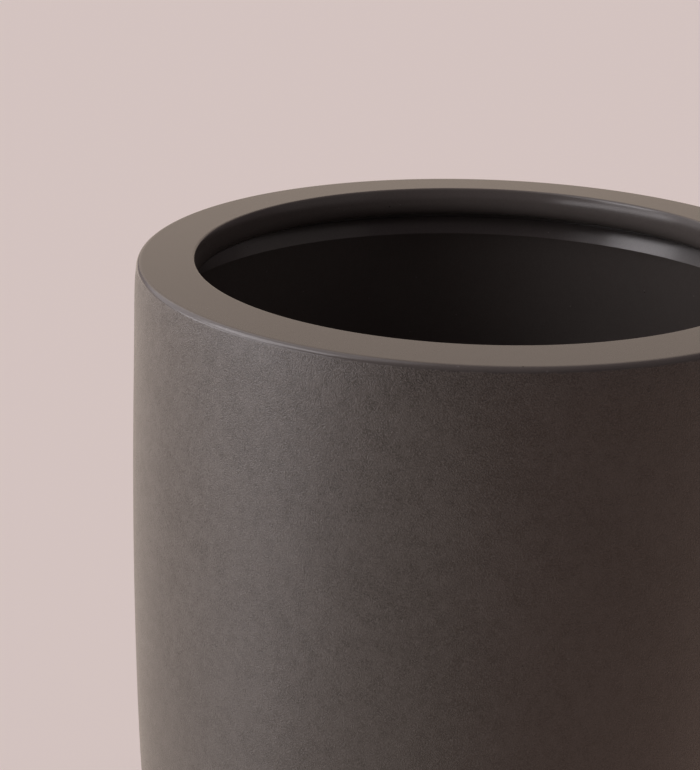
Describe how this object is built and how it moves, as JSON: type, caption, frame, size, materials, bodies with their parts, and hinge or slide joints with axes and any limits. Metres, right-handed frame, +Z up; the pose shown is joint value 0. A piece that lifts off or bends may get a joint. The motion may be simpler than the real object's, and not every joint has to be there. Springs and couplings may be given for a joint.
{
  "type": "plant pot",
  "caption": "Tall barrel-shaped earthenware floor pot with a wide flat rim, an overhanging collar, a foot ring, and a drain hole closed by a lift-out rubber plug.",
  "frame": {"origin": "on the floor, under the middle of the pot", "axes": "+Z up along the pot's axis; -Y faces the viewer of the picture; +X to the viewer's right"},
  "size_m": [0.3429, 0.343, 0.5],
  "materials": {
    "earthenware": "satin-matte charcoal slip with a fine sandy grain",
    "plug_rubber": "moulded matte",
    "pad_felt": "pressed felt"
  },
  "bodies": {
    "pot": {"rim_ring": "earthenware", "pot_wall": "earthenware", "pot_base": "earthenware", "foot_pad_front": "pad_felt", "foot_pad_right": "pad_felt", "foot_pad_back": "pad_felt", "foot_pad_left": "pad_felt"},
    "plug": {"drain_plug": "plug_rubber"}
  },
  "joints": [
    {"name": "drain_plug_lift", "type": "slide", "parent": "pot", "child": "plug", "axis": [0, 0, 1], "range_m": [0, 0.53]}
  ]
}
